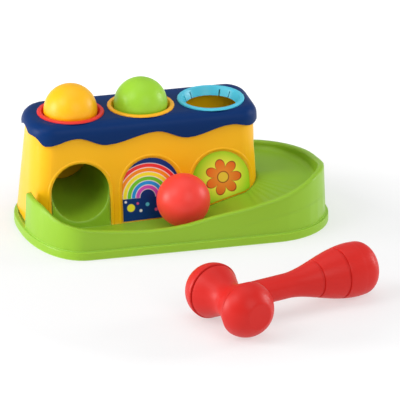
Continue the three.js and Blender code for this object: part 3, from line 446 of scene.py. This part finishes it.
def new_piece(name, bm, material):
    """An object from a filled bmesh, smooth over curves and crisp at edges."""
    bmesh.ops.recalc_face_normals(bm, faces=bm.faces)
    mesh = bpy.data.meshes.new(name)
    bm.to_mesh(mesh)
    bm.free()
    for polygon in mesh.polygons:
        polygon.use_smooth = True
    mesh.set_sharp_from_angle(angle=SMOOTH_ANGLE)
    mesh.materials.append(MATERIALS[material])
    piece = bpy.data.objects.new(name, mesh)
    bpy.context.scene.collection.objects.link(piece)
    return piece


def turned(name, profile, matrix, slot):
    """A closed solid of revolution about Z through [radius, height] pairs in millimetres."""
    bm = bmesh.new()
    rings = []
    for radius, height in profile:
        if radius < ON_AXIS:
            rings.append([bm.verts.new((0.0, 0.0, height * MM))])
            continue
        ring = []
        for k in range(TURN_SEGMENTS):
            angle = 2.0 * math.pi * k / TURN_SEGMENTS
            ring.append(bm.verts.new((
                radius * MM * math.cos(angle), radius * MM * math.sin(angle), height * MM,
            )))
        rings.append(ring)
    for low, high in zip(rings, rings[1:]):
        for k in range(TURN_SEGMENTS):
            n = (k + 1) % TURN_SEGMENTS
            if len(low) == 1:
                bm.faces.new((low[0], high[k], high[n]))
            elif len(high) == 1:
                bm.faces.new((low[k], low[n], high[0]))
            else:
                bm.faces.new((low[k], low[n], high[n], high[k]))
    bm.transform(matrix)
    return new_piece(name, bm, slot)


def stand_for(piece, node, body):
    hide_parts(node)
    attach(piece, body)


# Balls: two welded half shells with a faint seam groove
SHELL_STEPS = 18
INSIDE_STEPS = 8
SEAM_HALF = 0.35
SEAM_START = 0.02
SEAM_DEPTH = 0.22


def half_shell():
    outer = []
    for i in range(SHELL_STEPS):
        angle = math.pi / 2 * i / SHELL_STEPS
        outer.append((BALL_R * math.sin(angle), BALL_R * math.cos(angle)))
    rim = [(BALL_R - SEAM_START, SEAM_HALF), (BALL_R - SEAM_DEPTH, 0.0)]
    inner_r = BALL_R - BALL_WALL
    inner = []
    for i in range(INSIDE_STEPS, -1, -1):
        angle = math.pi / 2 * i / INSIDE_STEPS
        inner.append((inner_r * math.sin(angle), inner_r * math.cos(angle)))
    return outer + rim + inner


def ball(colour):
    """Both halves about the solids' own centre, parted square to the photo's view."""
    low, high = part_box(f"ball_{colour}_front_half")
    low2, high2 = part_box(f"ball_{colour}_rear_half")
    lowest = Vector(map(min, low, low2))
    highest = Vector(map(max, high, high2))
    centre = (lowest + highest) / 2
    facing = BACK.to_track_quat("Z", "Y").to_matrix().to_4x4()
    for side, turn in (("front", 0.0), ("rear", math.pi)):
        matrix = Matrix.Translation(centre) @ facing @ Matrix.Rotation(turn, 4, "X")
        piece = turned(f"ball_{colour}_{side}_shell", half_shell(), matrix, f"ball_{colour}")
        stand_for(piece, f"ball_{colour}_{side}_half", f"{colour}_ball")


for colour in ("yellow", "green", "red"):
    ball(colour)


# Mallet: waisted barrel, domed caps and the swelling grip, in millimetres
CAP_STEPS = 16
CAP_FIRST_ANGLE = 0.03
CAP_LIP = 0.25
CAP_CHAMFER = 0.9
CAP_FACE_ROUND = 1.2
BARREL_STEPS = 24
BARREL_GAP = 0.05
NECK_SHARE = 0.7
FLARE_POWER = 0.85
GRIP_FROM = 30.0
GRIP_STEPS = 89
GRIP_STOP = 2.0
GRIP_TAPER = 0.992
GROOVE_MARGIN = 0.6
GROOVE_SHAPE = (
    (-1.3, 0.0), (-1.1, 0.06), (-0.9, 0.95), (0.0, 1.0), (0.9, 0.95), (1.1, 0.06), (1.3, 0.0),
)
END_STEPS = 15
END_SHARE = 0.985
END_DEPTH = 1.1
MALLET = (
    Matrix.Translation(place(*MALLET_AT))
    @ Matrix.Rotation(MALLET_YAW, 4, "Z")
    @ Matrix.Rotation(MALLET_SINK, 4, "Y")
)


def cap_profile():
    last_angle = math.asin((HEAD_HALF - CAP_START) / HEAD_R)
    profile = [
        (0.0, CAP_START), (HEAD_R - CAP_CHAMFER, CAP_START), (HEAD_R - CAP_LIP, CAP_START + CAP_LIP),
    ]
    for i in range(CAP_STEPS + 1):
        angle = CAP_FIRST_ANGLE + (last_angle - CAP_FIRST_ANGLE) * i / CAP_STEPS
        profile.append((HEAD_R * math.cos(angle), CAP_START + HEAD_R * math.sin(angle)))
    face_r = HEAD_R * math.cos(last_angle) - CAP_FACE_ROUND
    return profile + [(face_r, HEAD_HALF), (0.0, HEAD_HALF)]


def barrel_profile():
    reach = CAP_START - CAP_GROOVE
    neck = HEAD_R * NECK_SHARE
    end = CAP_START - BARREL_GAP
    half = []
    for i in range(BARREL_STEPS + 1):
        t = i / BARREL_STEPS
        eased = (1.0 - math.cos(math.pi * t)) / 4 + t * t / 2
        half.append((WAIST_R + (HEAD_R - CAP_GROOVE - WAIST_R) * eased, reach * t))
    half += [(neck, reach), (neck, end), (0.0, end)]
    return [(r, -z) for r, z in reversed(half[1:])] + half


def flare(u):
    t = min(1.0, max(0.0, (u - FLARE_START) / (GRIP_WIDEST - FLARE_START)))
    eased = (1.0 - math.cos(math.pi * t)) / 2
    return HANDLE_R + (GRIP_R - HANDLE_R) * eased ** FLARE_POWER


def grip_profile():
    round_from = HANDLE_END - GRIP_END_ROUND
    profile = [(0.0, HANDLE_START), (HANDLE_R, HANDLE_START)]
    for i in range(GRIP_STEPS + 1):
        u = GRIP_FROM + (round_from - GRIP_STOP - GRIP_FROM) * i / GRIP_STEPS
        near = min(abs(u - groove) for groove in GRIP_GROOVES)
        if near > GROOVE_HALF + GROOVE_MARGIN:
            profile.append((flare(u) * (1.0 if u < GRIP_WIDEST else GRIP_TAPER), u))
    for groove in GRIP_GROOVES:
        for off, drop in GROOVE_SHAPE:
            u = groove + off
            profile.append((flare(u) - GROOVE_DEPTH * drop, u))
    for i in range(1, END_STEPS):
        angle = math.pi / 2 * i / END_STEPS
        back = GRIP_END_ROUND * (1.0 - math.cos(angle)) * END_DEPTH
        profile.append((GRIP_R * END_SHARE - back, round_from + GRIP_END_ROUND * math.sin(angle)))
    profile.sort(key=lambda p: p[1])
    return profile + [(0.0, HANDLE_END)]


barrel_turn = MALLET @ Matrix.Rotation(math.pi / 2, 4, "X")
barrel = turned("mallet_barrel", barrel_profile(), barrel_turn, "red_plastic")
stand_for(barrel, "mallet_head", "mallet")
for side, turn in (("front", math.pi / 2), ("rear", -math.pi / 2)):
    cap_turn = MALLET @ Matrix.Rotation(turn, 4, "X")
    cap = turned(f"mallet_{side}_dome", cap_profile(), cap_turn, "red_plastic")
    stand_for(cap, f"mallet_cap_{side}", "mallet")
grip_turn = MALLET @ Matrix.Rotation(math.pi / 2, 4, "Y")
handle = turned("mallet_grip", grip_profile(), grip_turn, "red_plastic")
stand_for(handle, "mallet_handle", "mallet")


# Arch lips: a low half-round bead round each arch, laid on the house's front, in millimetres
LIP_MIDDLE = 2.3
LIP_HALF = 1.0
LIP_HEIGHT = 0.45
LIP_SUNK = 0.4
LIP_FOOT_GAP = 0.2
LIP_LEG_STEPS = 8
LIP_ARC_STEPS = 36
LIP_SHAPE = ((-1.0, 0.0), (-0.7, 0.7), (0.0, 1.0), (0.7, 0.7), (1.0, 0.0))
LIP_PROFILE = (
    [(-LIP_HALF, -LIP_SUNK)]
    + [(off * LIP_HALF, rise * LIP_HEIGHT) for off, rise in LIP_SHAPE]
    + [(LIP_HALF, -LIP_SUNK)]
)
PROBE_REACH = 5.0
FLOOR_PROBE = Vector((0.0, -1.0, 80.0))
DOWN = Vector((0.0, 0.0, -1.0))
FRONT_UP = Vector((0.0, math.sin(FRONT_LEAN), math.cos(FRONT_LEAN)))
FRONT_OUT = Vector((0.0, -math.cos(FRONT_LEAN), math.sin(FRONT_LEAN)))
FRONT_FOOT = Vector(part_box("house_shell")[0])


def surface(node):
    mesh = nodes[node].data
    points = [v.co for v in mesh.vertices]
    return BVHTree.FromPolygons(points, [p.vertices for p in mesh.polygons])


HOUSE_SURFACE = surface("house_shell")
TRAY_SURFACE = surface("base_tray")


def on_front(x, z):
    """The point of the sloping front plane at that place across and height, in metres."""
    up = (z - FRONT_FOOT.z) / math.cos(FRONT_LEAN)
    return Vector((x, FRONT_FOOT.y, FRONT_FOOT.z)) + FRONT_UP * up


def track_height(toy_x):
    """The track floor's height just before the house's front, in millimetres."""
    start = on_front(place(toy_x, 0.0, 0.0).x, FRONT_FOOT.z) + FLOOR_PROBE * MM
    return TRAY_SURFACE.ray_cast(start, DOWN)[0].z / MM


def lip_path(centre_x):
    """Points in the arch's plane, from its centre, with the way outwards at each."""
    radius = ARCH_R + LIP_MIDDLE
    legs = {}
    for side in (-1.0, 1.0):
        floor = track_height(centre_x + side * radius)
        lowest = max(floor - LIP_SUNK, FRONT_FOOT.z / MM + LIP_FOOT_GAP)
        drop = (ARCH_SPRING - lowest) / math.cos(FRONT_LEAN)
        legs[side] = []
        for i in range(LIP_LEG_STEPS + 1):
            legs[side].append(((side * radius, -drop * i / LIP_LEG_STEPS), (side, 0.0)))
    arc = []
    for i in range(1, LIP_ARC_STEPS):
        angle = math.pi * (1.0 - i / LIP_ARC_STEPS)
        way = (math.cos(angle), math.sin(angle))
        arc.append(((radius * way[0], radius * way[1]), way))
    return legs[-1.0][::-1] + arc + legs[1.0]


def arch_lip(name, centre_x):
    """The bead's section carried along its path, each corner set on the house by a ray."""
    centre = on_front(place(centre_x, 0.0, 0.0).x, ARCH_SPRING * MM)
    reach = FRONT_OUT * PROBE_REACH * MM
    bm = bmesh.new()
    rings = []
    for at, way in lip_path(centre_x):
        ring = []
        for off, rise in LIP_PROFILE:
            across = Vector(((at[0] + way[0] * off) * MM, 0.0, 0.0))
            point = centre + across + FRONT_UP * ((at[1] + way[1] * off) * MM)
            seat = HOUSE_SURFACE.ray_cast(point + reach, -FRONT_OUT, 2.0 * PROBE_REACH * MM)[0]
            ring.append(bm.verts.new(seat + FRONT_OUT * rise * MM))
        rings.append(ring)
    count = len(LIP_PROFILE)
    for low, high in zip(rings, rings[1:]):
        for k in range(count):
            n = (k + 1) % count
            bm.faces.new((low[k], low[n], high[n], high[k]))
    bm.faces.new(rings[0])
    bm.faces.new(rings[-1][::-1])
    lip = new_piece(name, bm, "yellow_lip")
    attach(lip, "toy")


for lip_name, lip_x in (("left", -HOLE_PITCH), ("middle", 0.0), ("right", HOLE_PITCH)):
    arch_lip(f"arch_lip_{lip_name}", lip_x)


# Studio, in metres: a pale floor that brightens outwards and five soft lights
FLOOR_HALF = 12.0
FLOOR_DROP = 0.0002
FLOOR_SCALE = 0.6
FLOOR_TONES = ((0.37, 0.37, 0.38, 1.0), (0.4, 0.4, 0.4, 1.0))
FLOOR_ROUGHNESS = 0.7
FLOOR_FADE = (0.2, 0.5)
FLOOR_BRIGHT = (0.52, 0.9)
WHITE = (1.0, 1.0, 1.0, 1.0)
WORLD_STRENGTH = 0.42
# Name, position, target, width and power in watts
LIGHTS = (
    ("key", (-0.9, -0.2, 1.0), (0.0, 0.05, 0.05), 0.7, 4.8),
    ("side", (-1.3, 0.25, 0.35), (0.0, 0.1, 0.05), 0.6, 11.0),
    ("fill", (0.3, -1.35, 1.0), (0.0, 0.0, 0.03), 1.0, 6.4),
    ("right", (1.3, 0.1, 0.45), (0.0, 0.1, 0.05), 0.6, 6.5),
    ("top", (0.0, 0.2, 1.7), (0.0, 0.05, 0.0), 1.6, 5.7),
)


def studio_floor():
    mesh = bpy.data.meshes.new("studio_floor")
    corners = [(x * FLOOR_HALF, y * FLOOR_HALF, 0.0) for x, y in ((-1, -1), (1, -1), (1, 1), (-1, 1))]
    mesh.from_pydata(corners, [], [(0, 1, 2, 3)])
    floor = bpy.data.objects.new("studio_floor", mesh)
    bpy.context.scene.collection.objects.link(floor)
    floor.location.z = -FLOOR_DROP
    g = Graph("studio_floor")
    away = g.node("ShaderNodeVectorMath", {0: g.where()}, operation="LENGTH").outputs["Value"]
    g.set(
        Base_Color=g.mix(g.noise(FLOOR_SCALE), *FLOOR_TONES),
        Roughness=FLOOR_ROUGHNESS,
        Emission_Color=WHITE,
        Emission_Strength=g.between(away, *FLOOR_FADE, *FLOOR_BRIGHT),
    )
    mesh.materials.append(g.material)


def area_light(name, position, target, size, power):
    data = bpy.data.lights.new(name, "AREA")
    data.shape = "DISK"
    data.size = size
    data.energy = power
    light = bpy.data.objects.new(name, data)
    light.location = position
    light.rotation_mode = "QUATERNION"
    light.rotation_quaternion = (Vector(target) - Vector(position)).to_track_quat("-Z", "Y")
    light.visible_camera = False
    bpy.context.scene.collection.objects.link(light)


studio_floor()
world = bpy.data.worlds.new("studio")
world.use_nodes = True
background = world.node_tree.nodes["Background"].inputs
background["Color"].default_value = WHITE
background["Strength"].default_value = WORLD_STRENGTH
bpy.context.scene.world = world
bpy.context.scene.view_settings.view_transform = "Standard"
for light in LIGHTS:
    area_light(*light)


# Camera: a long lens whose frame is FRAME_WIDTH across at the toy
FRAME_WIDTH = 0.3407
CAMERA_DISTANCE = 14.0
SENSOR_WIDTH = 36.0
CLIP_END = 100.0
FRAME_MIDDLE = place(41.44, -42.04, 21.32)
camera_data = bpy.data.cameras.new("camera")
camera_data.sensor_width = SENSOR_WIDTH
camera_data.lens = SENSOR_WIDTH * CAMERA_DISTANCE / FRAME_WIDTH
camera_data.clip_end = CLIP_END
camera = bpy.data.objects.new("camera", camera_data)
camera.location = FRAME_MIDDLE + BACK * CAMERA_DISTANCE
camera.rotation_mode = "QUATERNION"
camera.rotation_quaternion = (-BACK).to_track_quat("-Z", "Y")
bpy.context.scene.collection.objects.link(camera)
bpy.context.scene.camera = camera

bpy.context.view_layer.update()
